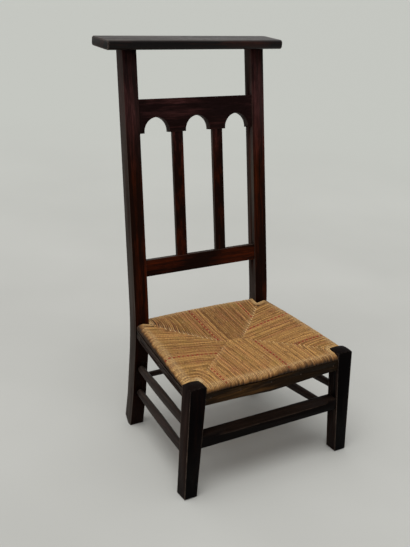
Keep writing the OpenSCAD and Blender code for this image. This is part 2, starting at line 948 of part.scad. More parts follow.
// The front pocket and the right one; the others are turned round from the same shares
function end_pocket(side) = [
    for (p = [[-1, 1], [1, 1], [1, 0], [-1, 0]])
        let (v = p[1] == 1 ? pocket_outer_share : pocket_inner_share)
        pocket_point(p[0] * (v - pocket_web_share), side * v)
];
function side_pocket(side) = [
    for (p = [[-1, 1], [1, 1], [1, 0], [-1, 0]])
        let (u = p[1] == 1 ? pocket_outer_share : pocket_inner_share)
        pocket_point(side * u, p[0] * (u - pocket_web_share))
];

module pocket_slab(points, inset) {
    thickness = stuffing_t + 2 * soft_gap - 2 * inset;
    translate([0, rush_mid_y, pocket_mid_h])
        rotate([seat_slope, 0, 0])
            linear_extrude(thickness, center = true)
                polygon(inset > 0 ? drawn_in(points, inset) : points);
}

// Moves each corner of an outline towards the outline's middle by a clearance
function middle_of(values) = (min(values) + max(values)) / 2;
function middle(points) = [for (k = [0, 1]) middle_of([for (p = points) p[k]])];
function drawn_in(points, inset) =
    let (m = middle(points))
    [for (p = points) [p[0] - 2 * inset * sign(p[0] - m[0]), p[1] - 2 * inset * sign(p[1] - m[1])]];

module stuffing(points) {
    color(stuffing_colour)
        in_place()
            pocket_slab(points, soft_gap);
}

module stuffing_front() {
    stuffing(end_pocket(-1));
}

module stuffing_back() {
    stuffing(end_pocket(1));
}

module stuffing_left() {
    stuffing(side_pocket(-1));
}

module stuffing_right() {
    stuffing(side_pocket(1));
}

module rush_seat() {
    color(rush_colour)
        in_place()
            difference() {
                rush_body();
                front_rail_bar(soft_gap);
                back_rail_bar(soft_gap);
                both_sides() {
                    side_rail_bar(soft_gap);
                    leg_blank(soft_gap);
                    post_blank(soft_gap);
                }
                for (side = [-1, 1]) {
                    pocket_slab(end_pocket(side), 0);
                    pocket_slab(side_pocket(side), 0);
                }
                nail_holes(rush_hole_sides);
            }
}

// Strips

front_strip_half_w = leg_inner_x(front_strip_foot_h);
front_strip_top_h = front_strip_foot_h + front_strip_h;
function front_strip_top(x) =
    front_strip_top_h + front_strip_h * lookup(x / front_strip_half_w, front_strip_edge_shares);
function side_strip_foot(y) =
    side_strip_foot_h + side_strip_rise * pow(max(0, side_rail_share(y)), side_strip_power);
function side_strip_top(y) = side_strip_foot(y) + side_strip_h;

module seat_strip_front() {
    front_row = rush_cols - 1;
    edge = [for (i = [0:front_row]) let (p = sheet(false)[i]) [p[0], front_strip_top(p[0])]];
    foot = [
        for (p = front_strip_foot_shares)
            [p[0] * (front_strip_half_w + overrun), front_strip_foot_h + p[1] * front_strip_h]
    ];
    inner = [for (p = edge) if (abs(p[0]) < front_strip_half_w) p];
    end_x = front_strip_half_w + overrun;
    ends = [for (side = [-1, 1]) [side * end_x, front_strip_top(side * front_strip_half_w)]];
    color(strip_colour)
        in_place()
            difference() {
                translate([0, front_strip_set + strip_t / 2, 0])
                    through_y(strip_t)
                        polygon(concat(foot, [ends[1]], reversed(inner), [ends[0]]));
                both_sides()
                    leg_blank(joint_gap);
                nail_holes();
            }
}

side_angle = atan((front_w - back_w) / 2 / seat_depth);
side_strip_steps = 6;

// Stands children upright on the side line, with their X along it and their Z outwards
module on_side(inset) {
    translate([side_x(0, inset), 0, 0])
        rotate([90, 0, 90 + side_angle])
            children();
}

module side_strip() {
    ys = [for (i = [0:side_strip_steps]) (seat_depth + post_t / 2) * i / side_strip_steps];
    edge = [for (y = ys) [y / cos(side_angle), side_strip_top(y)]];
    foot = [for (y = ys) [y / cos(side_angle), side_strip_foot(y)]];
    color(wood_colour)
        difference() {
            on_side(side_strip_set + strip_t)
                linear_extrude(strip_t)
                    polygon(concat(foot, reversed(edge)));
            leg_blank(joint_gap);
            post_blank(joint_gap);
            nail_holes();
        }
}

module seat_strip_right() {
    in_place()
        side_strip();
}

module seat_strip_left() {
    in_place()
        mirror([1, 0, 0])
            side_strip();
}

// Nails: the origin is where a strip's face meets the nail's axis, and the shank runs down Z

module nail() {
    translate([0, 0, -nail_head_h])
        cylinder(h = nail_head_h, d = nail_head_d);
    translate([0, 0, -nail_l])
        cylinder(h = nail_l, d = nail_d);
}

module nail_hole() {
    translate([0, 0, -nail_head_h - nail_gap])
        cylinder(h = nail_head_h + nail_gap + overrun, d = nail_head_d + 2 * nail_gap);
    translate([0, 0, -nail_l - nail_gap])
        cylinder(h = nail_l + nail_gap + overrun, r = nail_hole_r);
}

module front_nails() {
    for (s = front_nail_shares)
        translate([s * front_strip_half_w, front_strip_set, front_nail_h])
            rotate([90, 0, 0])
                children();
}

module side_nails() {
    start = leg_back_y(side_strip_foot_h);
    for (s = side_nail_shares) {
        y = start + s * (seat_depth - start);
        on_side(side_strip_set)
            translate([y / cos(side_angle), side_strip_foot(y) + side_strip_h / 2, 0])
                children();
    }
}

module nail_holes(sides = $fn) {
    front_nails()
        nail_hole($fn = sides);
    both_sides()
        side_nails()
            nail_hole($fn = sides);
}

module strip_nails() {
    color(nail_colour)
        in_place() {
            front_nails()
                nail();
            both_sides()
                side_nails()
                    nail();
        }
}

back_post_left();
back_post_right();
front_leg_left();
front_leg_right();
elbow_rest();
arcaded_rail();
cross_rail();
back_slat_left();
back_slat_right();
front_stretcher();
back_stretcher();
upper_rung_left();
upper_rung_right();
lower_rung_left();
lower_rung_right();
seat_rail_front();
seat_rail_back();
seat_rail_left();
seat_rail_right();
rush_seat();
stuffing_front();
stuffing_back();
stuffing_left();
stuffing_right();
seat_strip_front();
seat_strip_left();
seat_strip_right();
strip_nails();
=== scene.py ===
"""Dresses the prie-dieu: stained wood, a woven rush seat, floor, light and camera.

The frame is in metres, +Z up, front towards -Y. The rush is worked out in the chair's own millimetres, in
which Y is counted from the front of the front legs' tops, and goes into the frame when its mesh is made.
"""
import math

import bmesh
import bpy
import numpy as np
from mathutils import Matrix, Vector
from mathutils.bvhtree import BVHTree


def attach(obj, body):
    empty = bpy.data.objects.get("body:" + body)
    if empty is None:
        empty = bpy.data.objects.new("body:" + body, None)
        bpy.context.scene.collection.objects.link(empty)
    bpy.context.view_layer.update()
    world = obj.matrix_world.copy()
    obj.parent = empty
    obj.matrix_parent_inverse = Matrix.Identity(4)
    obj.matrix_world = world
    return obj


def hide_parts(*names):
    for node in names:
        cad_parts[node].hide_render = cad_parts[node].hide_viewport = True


MM = 0.001
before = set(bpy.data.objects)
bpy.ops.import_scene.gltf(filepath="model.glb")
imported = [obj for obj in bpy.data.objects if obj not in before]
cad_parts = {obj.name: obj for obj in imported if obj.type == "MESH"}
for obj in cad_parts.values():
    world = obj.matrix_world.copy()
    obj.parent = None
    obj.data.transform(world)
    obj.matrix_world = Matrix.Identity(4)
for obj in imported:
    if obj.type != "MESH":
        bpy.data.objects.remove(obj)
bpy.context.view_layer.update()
rng = np.random.default_rng(11)

# The chair's own measures, in millimetres
MID_Y = 229.34       # where the frame's Y is 0
SEAT_D = 289.0       # from the front of the legs' tops to the front of the posts
FRONT_HALF = 220.0   # half of the width over the front legs' tops
SIDE_SLOPE = 30.5 / SEAT_D   # how much nearer to the middle the sides come for each millimetre backwards
BEND_H, BEND_RISE, BEND_R, RAKE = 180.0, 140.0, 708.3, math.radians(11.4)   # of the back posts


def clamp(value):
    """The value, kept from 0 to 1."""
    return min(max(value, 0), 1)


def new_object(name, data):
    """An object of a mesh, light or camera, linked to the scene."""
    obj = bpy.data.objects.new(name, data)
    bpy.context.collection.objects.link(obj)
    return obj


def solid(node):
    """A bmesh of a CAD node's solid, in the frame's place."""
    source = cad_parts[node]
    bm = bmesh.new()
    bm.from_mesh(source.data)
    bm.transform(source.matrix_world)
    bmesh.ops.remove_doubles(bm, verts=bm.verts, dist=1e-6)
    return bm


def mesh_of(bm, name):
    """Turns a bmesh into a mesh, and frees it."""
    mesh = bpy.data.meshes.new(name)
    bm.to_mesh(mesh)
    bm.free()
    return mesh


def dress(piece, node, material):
    """Gives a piece its material and puts it in the place of a CAD node."""
    piece.data.materials.append(material)
    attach(piece, "root")
    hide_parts(node)


# Materials

# Cosines of the turn between the rounded and the real normal, on flats and on arrises
FLAT_COSINE, ARRIS_COSINE = 0.985, 0.86


class Nodes:
    """Short calls for building a material's node tree."""

    def __init__(self, name):
        self.material = bpy.data.materials.new(name)
        self.material.use_nodes = True
        self.tree = self.material.node_tree
        self.tree.nodes.clear()
        self.out = self.add("ShaderNodeOutputMaterial")
        self.shader = self.add("ShaderNodeBsdfPrincipled")
        self.link(self.shader.outputs["BSDF"], self.out.inputs["Surface"])

    def add(self, kind, **settings):
        node = self.tree.nodes.new(kind)
        for key, value in settings.items():
            setattr(node, key, value)
        return node

    def link(self, a, b):
        self.tree.links.new(a, b)

    def put(self, socket, value):
        """Links a socket's output to another one, or sets a plain value there."""
        if isinstance(value, bpy.types.NodeSocket):
            self.link(value, socket)
        else:
            socket.default_value = value

    def attribute(self, name, vector=False):
        """A mesh attribute's value."""
        node = self.add("ShaderNodeAttribute", attribute_name=name)
        return node.outputs["Vector" if vector else "Fac"]

    def place(self):
        """The point's place on the object, in metres."""
        return self.add("ShaderNodeTexCoord").outputs["Object"]

    def parts(self, vector):
        """The X, Y and Z of a vector."""
        node = self.add("ShaderNodeSeparateXYZ")
        self.link(vector, node.inputs["Vector"])
        return node.outputs

    def noise(self, vector, scale, detail, rough, shift=(0, 0, 0), distortion=0.0):
        """Noise that changes about as many times in a metre as scale says for each axis."""
        scaled = self.add("ShaderNodeMapping")
        self.link(vector, scaled.inputs["Vector"])
        scaled.inputs["Scale"].default_value = scale
        scaled.inputs["Location"].default_value = shift
        node = self.add("ShaderNodeTexNoise")
        self.link(scaled.outputs["Vector"], node.inputs["Vector"])
        settings = (("Scale", 1.0), ("Detail", detail), ("Roughness", rough), ("Distortion", distortion))
        for key, value in settings:
            node.inputs[key].default_value = value
        return node.outputs["Fac"]

    def span(self, value, low, high, new_low=0.0, new_high=1.0):
        """Maps the range from low to high to the new one, and keeps inside it."""
        node = self.add("ShaderNodeMapRange")
        self.put(node.inputs["Value"], value)
        for key, v in (("From Min", low), ("From Max", high), ("To Min", new_low), ("To Max", new_high)):
            node.inputs[key].default_value = v
        return node.outputs["Result"]

    def math(self, operation, a, b=0.0):
        node = self.add("ShaderNodeMath", operation=operation)
        self.put(node.inputs[0], a)
        self.put(node.inputs[1], b)
        return node.outputs["Value"]

    def times(self, a, b):
        return self.math("MULTIPLY", a, b)

    def plus(self, a, b):
        return self.math("ADD", a, b)

    def mix(self, share, a, b):
        node = self.add("ShaderNodeMix", data_type="RGBA")
        self.put(node.inputs["Factor"], share)
        self.put(node.inputs["A"], a)
        self.put(node.inputs["B"], b)
        return node.outputs["Result"]

    def edge(self, radius):
        """1 on arrises, 0 on flats: how far the rounded normal turns from the real one."""
        bevel = self.add("ShaderNodeBevel", samples=6)
        bevel.inputs["Radius"].default_value = radius
        real = self.add("ShaderNodeNewGeometry")
        dot = self.add("ShaderNodeVectorMath", operation="DOT_PRODUCT")
        self.link(bevel.outputs["Normal"], dot.inputs[0])
        self.link(real.outputs["Normal"], dot.inputs[1])
        return self.span(dot.outputs["Value"], FLAT_COSINE, ARRIS_COSINE)

    def finish(self, colour, roughness, relief=None, level=0.5, metallic=0.0):
        """Sets the shader's inputs and returns the material. relief is the height of its bump, with the
        bump's strength and its distance in metres. level is how much it shines."""
        inputs = self.shader.inputs
        self.put(inputs["Base Color"], colour)
        self.put(inputs["Roughness"], roughness)
        inputs["Specular IOR Level"].default_value = level
        inputs["Metallic"].default_value = metallic
        if relief:
            height, strength, distance = relief
            bump = self.add("ShaderNodeBump")
            bump.inputs["Strength"].default_value = strength
            bump.inputs["Distance"].default_value = distance
            self.link(height, bump.inputs["Height"])
            self.link(bump.outputs["Normal"], inputs["Normal"])
        return self.material


def rgb(r, g, b):
    """A colour given as 0 to 255 display values."""
    def linear(v):
        v /= 255
        return v / 12.92 if v <= 0.04045 else ((v + 0.055) / 1.055) ** 2.4
    return (linear(r), linear(g), linear(b), 1.0)


# How often the wood's patterns change in a metre, along the grain and twice across it
STREAKS, CLOUDS, PORES, SCUFFS = (5, 90, 90), (6, 14, 14), (45, 900, 900), (60, 140, 140)
# Between which heights, in metres, the wood turns to the arcaded rail's colours, and the grey of its
# painted sheen and dust weakens
TO_HIGH, TO_WEAKER_SHEEN_AND_DUST = (0.6, 0.74), (0.62, 0.78)


def wood(name, dark, warm, arris_wear_and_highlight, sheen_and_dust, warm_share, rough, level, arris_wear_and_highlight_level=0.5, sides=0.0, tops=0.0,
         low_dark=(0.0, 0.001), high=None, rim=0.0026):
    """Stained wood with grain along the piece: streaks from dark to warm, pores, and pale arrises.

    Its left and right faces get a painted grey sheen, by the share sides, and its upper faces grey dust
    with a painted sheen, by the share tops. Between the heights low_dark the warm streaks come in. high is
    the pair of colours that dark and warm turn to at the arches' height, where the painted sheen and dust
    are weaker too.
    rim is how far from an arris its pale colour reaches: wear, with a painted highlight along the arris."""
    n = Nodes(name)
    geometry = n.add("ShaderNodeNewGeometry")
    facing = n.parts(geometry.outputs["Normal"])
    height = n.parts(geometry.outputs["Position"])["Z"]
    grain = n.attribute("grain", vector=True)
    streak = n.noise(grain, STREAKS, 6, 0.6, distortion=0.6)
    cloud = n.noise(grain, CLOUDS, 3, 0.5, shift=(3, 1, 7), distortion=0.4)
    pores = n.noise(grain, PORES, 3, 0.6)
    scuff = n.noise(grain, SCUFFS, 5, 0.7, shift=(9, 4, 2), distortion=0.3)

    blend = n.plus(n.times(streak, 0.6), n.times(cloud, 0.6))
    share = n.span(blend, 0.78 - 0.36 * warm_share, 0.98 - 0.36 * warm_share)
    body = n.mix(n.times(share, n.span(height, *low_dark)), dark, warm)
    if high:
        body = n.mix(n.span(height, *TO_HIGH, 0.0, 0.85), body, n.mix(share, *high))
    pore_colour = tuple(0.35 * c for c in dark[:3]) + (1,)
    body = n.mix(n.span(pores, 0.62, 0.46, 0.0, 0.55), body, pore_colour)

    # painted grey sheen on the left and right faces; on the upper faces grey dust with a painted sheen
    side_sheen = n.span(n.math("ABSOLUTE", facing["X"]), 0.6, 0.95, 0.0, sides)
    top_dust_and_sheen = n.span(facing["Z"], 0.6, 0.95, 0.0, tops)
    sheen_and_dust_share = n.times(n.math("MAXIMUM", side_sheen, top_dust_and_sheen), n.span(cloud, 0.3, 0.6, 0.6, 1.0))
    if high:
        sheen_and_dust_share = n.times(sheen_and_dust_share, n.span(height, *TO_WEAKER_SHEEN_AND_DUST, 1.0, 0.5))
    body = n.mix(sheen_and_dust_share, body, n.mix(n.span(streak, 0.38, 0.62, 0.0, 0.7), sheen_and_dust, dark))

    # pale arrises: wear, with a painted highlight along them
    arris_wear_and_highlight_share = n.times(n.times(n.edge(rim), n.span(scuff, 0.35, 0.62, 0.15, 1.0)), arris_wear_and_highlight_level)
    roughness = n.span(scuff, 0.3, 0.7, rough - 0.07, rough + 0.12)
    relief = n.plus(n.times(pores, 0.5), n.times(scuff, 0.5))
    return n.finish(n.mix(arris_wear_and_highlight_share, body, arris_wear_and_highlight), roughness, (relief, 0.25, 0.0008), level)


TWIST_LENGTH = 0.0068     # of one turn of the straw, in metres
RED_TURN_LENGTH = 0.0115  # from one red turn to the next


def rush_material():
    """Twisted straw: each strand has its own tone and twist, with painted shade in the grooves between,
    rubbing and a painted highlight over the rails, painted highlights on the raised tips, red turns on a
    few strands, and painted shade with some dirt down by the strips."""
    n = Nodes("rush")
    tone, red, pink, run, turn, groove, edge, low, tip = (n.attribute(key) for key in Strands.KEYS)
    seed = n.attribute("seed", vector=True)
    along = n.noise(seed, (60, 1, 1), 4, 0.6)
    fine = n.noise(seed, (240, 1, 1), 3, 0.6, shift=(5, 5, 5))
    patch = n.noise(n.place(), (24, 24, 24), 3, 0.6)

    red_angle = n.plus(n.times(run, 2 * math.pi / RED_TURN_LENGTH), n.times(turn, 0.9))
    red_turns = n.span(n.math("SINE", red_angle), -0.25, 0.1)
    laid = n.plus(n.times(run, 2 * math.pi / TWIST_LENGTH), n.times(turn, 2 * math.pi))
    twist = n.math("SINE", n.plus(laid, n.times(along, 9.0)))
    twist_shade = n.times(n.span(twist, 0.2, -0.9), n.span(fine, 0.35, 0.7, 0.1, 0.5))

    layers = (
        (n.span(patch, 0.54, 0.68, 0.0, 0.28), rgb(162, 136, 62)),                # greenish patches
        (n.span(patch, 0.46, 0.34, 0.0, 0.4), rgb(158, 96, 58)),                  # brown patches
        (n.span(along, 0.46, 0.32, 0.0, 0.7), rgb(98, 62, 32)),                   # dark lengths
        (n.span(fine, 0.55, 0.72, 0.0, 0.5), rgb(228, 186, 124)),                 # light flecks
        (n.times(pink, n.span(fine, 0.35, 0.6, 0.3, 0.8)), rgb(196, 116, 84)),    # pink strands
        (n.times(edge, n.span(fine, 0.3, 0.6, 0.25, 0.7)), rgb(212, 176, 122)),   # rubbing, and a painted highlight, over the rails
        (n.times(tip, 0.75), rgb(238, 204, 150)),                                 # painted highlight on the raised tips
        (n.times(red, red_turns), rgb(158, 32, 22)),
        (twist_shade, rgb(92, 56, 26)),
        # painted shade down the sides and undersides of each strand
        (n.times(groove, 0.9), rgb(46, 27, 12)),
        (n.span(low, 0.0, 0.5, 0.0, 0.85), rgb(122, 80, 36)),                     # painted shade, with some dirt, in two steps
        (n.span(low, 0.35, 0.95, 0.0, 0.95), rgb(42, 26, 12)),
    )
    colour = n.mix(n.span(tone, 0.0, 1.0), rgb(134, 89, 40), rgb(224, 170, 98))
    for share, layer in layers:
        colour = n.mix(share, colour, layer)
    relief = n.plus(n.times(twist, 0.6), n.times(fine, 0.8))
    return n.finish(colour, 0.6, (relief, 0.6, 0.0006), level=0.25)


def straw_material(name, dark, light):
    """Loose or shaded straw, which is seen only between the strands."""
    n = Nodes(name)
    fibre = n.noise(n.place(), (400, 60, 400), 4, 0.6)
    return n.finish(n.mix(n.span(fibre, 0.35, 0.65), dark, light), 0.8, (fibre, 0.6, 0.001))


def iron_material():
    """Old iron, rusty in spots."""
    n = Nodes("nail_iron")
    rust = n.noise(n.place(), (600, 600, 600), 4, 0.6)
    colour = n.mix(n.span(rust, 0.4, 0.7), rgb(52, 46, 42), rgb(86, 56, 38))
    return n.finish(colour, n.span(rust, 0.3, 0.7, 0.45, 0.8), (rust, 0.4, 0.0003), metallic=0.7)


def floor_material():
    """A plain pale floor, slightly cloudy near the chair and even far off."""
    n = Nodes("floor")
    place = n.add("ShaderNodeNewGeometry").outputs["Position"]
    distance = n.add("ShaderNodeVectorMath", operation="LENGTH")
    n.link(place, distance.inputs[0])
    far = n.span(distance.outputs["Value"], 0.8, 3.5)
    cloud = n.noise(place, (1.2, 1.2, 1.2), 3, 0.5)
    near = n.mix(n.span(cloud, 0.3, 0.7), rgb(182, 182, 177), rgb(192, 192, 187))
    colour = n.mix(far, near, rgb(190, 192, 186))
    return n.finish(colour, 0.75, level=0.15)


# Wooden pieces: bevelled copies of the solids, with the grain's direction stored on the mesh

BEVEL_SEGMENTS = 3
SHARP = math.radians(28)   # arrises that turn by more than this are rounded
NEARLY_FLAT = math.radians(0.6)
GRAIN_SHIFT = 3            # how far a piece's grain can be shifted, in metres
HOLE_REACH = 0.068         # the widest hole whose rim is left sharp
OFF_RIM, OFF_WALL = 0.0004, 0.00002   # where the look across a hole starts: below its rim, off its wall


def post_front(z):
    """Y of the posts' front faces at height z, both in millimetres."""
    if z <= BEND_H:
        return SEAT_D
    if z <= BEND_H + BEND_RISE:
        return SEAT_D + BEND_R * (1 - math.cos(math.asin((z - BEND_H) / BEND_R)))
    return SEAT_D + BEND_R * (1 - math.cos(RAKE)) + (z - BEND_H - BEND_RISE) * math.tan(RAKE)


# Each grain function turns a point into its place along the grain and its two places across it


def grain_x(p):
    return p.x, p.y, p.z


def grain_y(p):
    return p.y, p.x, p.z


def grain_z(p):
    return p.z, p.x, p.y


def grain_post(p):
    """Upright, and bent with the post."""
    return p.z, p.x, p.y - (post_front(p.z / MM) - MID_Y) * MM


def is_rim(tree, edge):
    """True on the rim of a mortise: across the hole, within reach, is the same solid again."""
    middle = (edge.verts[0].co + edge.verts[1].co) / 2
    a, b = (f.normal for f in edge.link_faces)
    for wall, face in ((a, b), (b, a)):
        start = middle - face * OFF_RIM + wall * OFF_WALL
        if tree.ray_cast(start, wall, HOLE_REACH)[0] is not None:
            return True
    return False


def store_grain(mesh, grain):
    """Stores each point's place along and across the grain, shifted so that no two pieces look alike."""
    shift = rng.uniform(-GRAIN_SHIFT, GRAIN_SHIFT, 3)
    values = np.array([grain(v.co) for v in mesh.vertices]) + shift
    attribute = mesh.attributes.new("grain", "FLOAT_VECTOR", "POINT")
    attribute.data.foreach_set("vector", values.astype(np.float32).ravel())


def bevelled(node, width, grain):
    """A copy of a node's mesh with its outer arrises rounded by a Bevel modifier."""
    bm = solid(node)
    tree = BVHTree.FromBMesh(bm)
    bmesh.ops.dissolve_limit(bm, angle_limit=NEARLY_FLAT, verts=bm.verts, edges=bm.edges)
    bm.normal_update()
    layer = bm.edges.layers.float.new("bevel_weight_edge")
    for edge in bm.edges:
        outer = len(edge.link_faces) == 2 and edge.is_convex
        if outer and edge.calc_face_angle(0) > SHARP and not is_rim(tree, edge):
            edge[layer] = 1.0
    mesh = mesh_of(bm, node + "_finished")
    store_grain(mesh, grain)
    mesh.shade_smooth()
    obj = new_object(node + "_finished", mesh)
    bevel = obj.modifiers.new("arris", "BEVEL")
    bevel.limit_method = "WEIGHT"
    bevel.width = width * MM
    bevel.segments = BEVEL_SEGMENTS
    bevel.harden_normals = True
    bevel.use_clamp_overlap = True
    return obj


# Rush: where the seat's upper and lower faces lie, as in the solid. A sign is -1 for the front or left and
# 1 for the back or right.

RUSH_FRONT, RUSH_BACK = 5.3, 316.67   # Y of its outer faces
RUSH_MID = (RUSH_FRONT + RUSH_BACK) / 2
RUSH_HALF_D = (RUSH_BACK - RUSH_FRONT) / 2
SIDE_INSET = 6.3          # from the line of the legs' outer faces to the rush's side
SIDE_START = 31.4         # Y at which the sides' heights start to rise
ROLL_R = 9.0              # radius of the rolls over the rails
ROLL_REACH = 4.8          # how much further a roll over a strip reaches
FLAT = RUSH_HALF_D - ROLL_R   # from the middle to the inner lines of the front and back rolls
RIDGE_HALF = 18.5         # half of the length of the ridge in the middle, where the mitres end
MIDDLE_TOP, MIDDLE_FOOT = 254.0, 228.0                             # in the seat's middle
END_TOP, END_FOOT = {-1: 251.1, 1: 270.1}, {-1: 210.9, 1: 231.9}   # at its front and back edges
SIDE_TOP, SIDE_RISE, SIDE_THICK = 254.6, 16.0, 32.2                # at its sides, from the front backwards
DISH_POWER = 1.6          # how late its dish rises from the middle to the edges
CROWN = 3.5               # how far the back and side edges rise in their middles
MITRE_BLEND = 0.12        # over which share of u - v the heights of two panels blend

# The strips' top edges: the front one's height, its depth and half its length, with the places and sizes of
# its waves as shares of the last two; and for the side ones their height in front, their rise to the back
# and how late it comes
STRIP_TOP, STRIP_H, STRIP_HALF = 239.0, 29.0, 182.4
STRIP_PLACES = (-1, -0.8, -0.5, -0.2, 0.08, 0.4, 0.7, 1)
STRIP_WAVES = (0.06, 0, -0.06, -0.18, -0.02, 0.06, 0.02, 0.02)
SIDE_STRIP_TOP, SIDE_STRIP_RISE, SIDE_STRIP_POWER = 239.5, 18.0, 1.7


def side_half(y):
    """Half of the rush's width at y."""
    return FRONT_HALF - SIDE_SLOPE * y - SIDE_INSET


def side_share(y):
    """0 behind the front legs and 1 at the posts."""
    return (y - SIDE_START) / (SEAT_D - SIDE_START)


def side_top(y):
    """Height of the side rolls."""
    return SIDE_TOP + SIDE_RISE * side_share(y)


def side_foot(y):
    """Height of their underside."""
    return side_top(y) - SIDE_THICK


def u_share(x, y):
    """0 on the ridge and 1 on the inner lines of the side rolls."""
    return max(0.0, (abs(x) - RIDGE_HALF) / (side_half(y) - ROLL_R - RIDGE_HALF))


def v_share(y):
    """0 on the ridge and 1 on the inner lines of the front and back rolls."""
    return abs(y - RUSH_MID) / FLAT


def front_strip_top(x):
    """Height of the front strip's uneven top edge."""
    return STRIP_TOP + STRIP_H * float(np.interp(x / STRIP_HALF, STRIP_PLACES, STRIP_WAVES))


def side_strip_top(y):
    """Height of the side strips' top edges."""
    return SIDE_STRIP_TOP + SIDE_STRIP_RISE * max(0.0, side_share(y)) ** SIDE_STRIP_POWER


def rise(u, v, sign):
    """How far the back and side edges are crowned: most in an edge's middle, nothing at the mitres."""
    if max(u, v) <= 0 or (v > u and sign < 0):
        return 0.0
    return CROWN * (1 - (min(u, v) / max(u, v)) ** 2)


def top_height(x, y):
    """The seat's upper face at a point inside the rolls."""
    u, v = u_share(x, y), v_share(y)
    sign = -1 if y < RUSH_MID else 1
    side = clamp(0.5 + (u - v) / MITRE_BLEND)
    edge = side * side_top(y) + (1 - side) * END_TOP[sign] + rise(u, v, sign)
    return MIDDLE_TOP + (edge - MIDDLE_TOP) * min(max(u, v), 1.0) ** DISH_POWER


def foot_height(x, y):
    """The seat's lower face there."""
    u, v = u_share(x, y), v_share(y)
    edge = side_foot(y) if u > v else END_FOOT[-1 if y < RUSH_MID else 1]
    return MIDDLE_FOOT + (edge - MIDDLE_FOOT) * min(max(u, v), 1.0) ** DISH_POWER


# Strands: each is a list of spots from one end to the other

PITCH = 4.0               # from one strand to the next
STRAND_R = 2.02           # radius of a strand
# How deep a strand's middle lies under the solid's face: in the open, at a strip's top and behind it
SINK, SINK_AT_STRIP, SINK_BEHIND_STRIP = 0.6, 1.4, 2.4
# Where a strand goes in behind a strip: how far out of the rush's side and above the strip's top it turns,
# and how far below that top it is behind the strip
TURN_OUT, TURN_ABOVE, TUCKED = 3.2, 2.2, 1.5
CLEAR = 0.3 + STRAND_R    # from a leg or post to the middle of the strand beside it
SPOT_STEP = 9             # between spots along a flat stretch
ARC_STEP = 4.0            # and along an arc
FEWEST_STEPS = 4
SWELL_RUN = 60            # from this length of a flat stretch on, a strand swells by a full millimetre
OVER_ROLL, UNDER_ROLL = (15, 30, 45, 60, 75, 95), (60, 30, 0)   # angles of the spots round a rail
RUB_AND_HIGHLIGHT_REACH = 10.0          # how far from a rail's arris the strands show rubbing and a painted highlight
# The painted shade, with some dirt, above the strips: over which heights it comes in; how high it reaches
# at the sides, with what it gains backwards and in the middle; and how high it reaches in front, with what
# it loses near the left leg, from how far left of the middle on and over which width
END_FADE, SIDE_FADE = 11.0, 6.0
SIDE_SHADE_AND_DIRT, SIDE_SHADE_AND_DIRT_RISE, SIDE_SHADE_AND_DIRT_SWELL = 11.0, 5.0, 4.5
FRONT_SHADE_AND_DIRT, FRONT_SHADE_AND_DIRT_LOSS, LOSS_START, LOSS_WIDTH = 13.5, 3.0, 110, 50
# How near the ridge the painted highlight on the end strands' tips fades, and the share of it that they all
# keep
DULL_WIDTH, LEAST_BRIGHT = 30, 0.1
START_ALONG = 3.0         # how far from its mitre an end strand's flat stretch starts
SIDE_FLAT = 0.97          # the share of its run to the mitre on which a side strand lies flat
PAST_MITRE = 3.0          # how far past the lower mitre a strand's end goes, and how much it rises there
DIVE = 2.0                # how deep the ends of the short strands past the corners dive

# The strands round the corners: the inner corner of a front leg and of a post, how many strands are carried
# round each by its x and y sign, how much wider than its distance from the leg a strand's arc is, and how
# high it lies, with what the middle of the arc adds to that
INNER_CORNER = {-1: (179.7, 32.9), 1: (154.5, SEAT_D)}
CORNER_STRANDS = {(-1, -1): 9, (1, -1): 3, (-1, 1): 3, (1, 1): 3}
CORNER_ROUND, CORNER_LIFT, ARC_LIFT = 2.5, 0.8, 0.6
# The short ones past them: how far from the outermost one's straight lengths they end, the cosine of the
# least angle that their arc leaves out at each end, and what the outermost arc leaves of the corner's
# diagonal, as a share of its radius
WEDGE_CLEAR, WEDGE_COSINE, DIAGONAL_REST = 1.3 * PITCH, 0.94, 0.414

# The rear strands' bow away from the left post: how far it goes, how far left of the middle it starts, over
# which width it grows, and from which length of their flat stretch on it is full
BOW, BOW_START, BOW_WIDTH, BOW_RUN = 8.0, 30, 90, 75
# The side strands' bow: how far it goes backwards in the middle and forwards at the end of the longest flat
# stretch, how long that is, and from which Y on the bow weakens towards the posts
SIDE_BOW, SIDE_TURN, SIDE_RUN, BEND_START = 5.0, 8.0, 190.0, 29
SIDE_END = 200.0          # how far inwards the side strands' mitre is looked for


def spot(x, y, z, sink=SINK, edge=0.0, low=0.0, tip=0.0):
    """A point of a strand: where the surface is, how deep the strand's middle lies under it, and how near
    the point is, from 0 to 1, to a rail's edge, with its rubbing and painted highlight, to a strip, with
    the painted shade and dirt above it, and to the strand's tip, with its painted highlight."""
    return x, y, z, sink, edge, low, tip


def rub_and_highlight(distance):
    """How much rubbing and painted highlight a strand gets at this distance from a rail's arris."""
    return max(0.0, 1.0 - abs(distance) / RUB_AND_HIGHLIGHT_REACH)


def side_fringe(y):
    """How far above the side strips the strands carry painted shade and some dirt: widest past the middle.
    """
    share = side_share(y)
    return SIDE_SHADE_AND_DIRT + SIDE_SHADE_AND_DIRT_RISE * share + SIDE_SHADE_AND_DIRT_SWELL * math.sin(math.pi * share)


def front_fringe(x):
    """The same above the front strip: narrower by the left leg."""
    return FRONT_SHADE_AND_DIRT - FRONT_SHADE_AND_DIRT_LOSS * clamp((-x - LOSS_START) / LOSS_WIDTH)


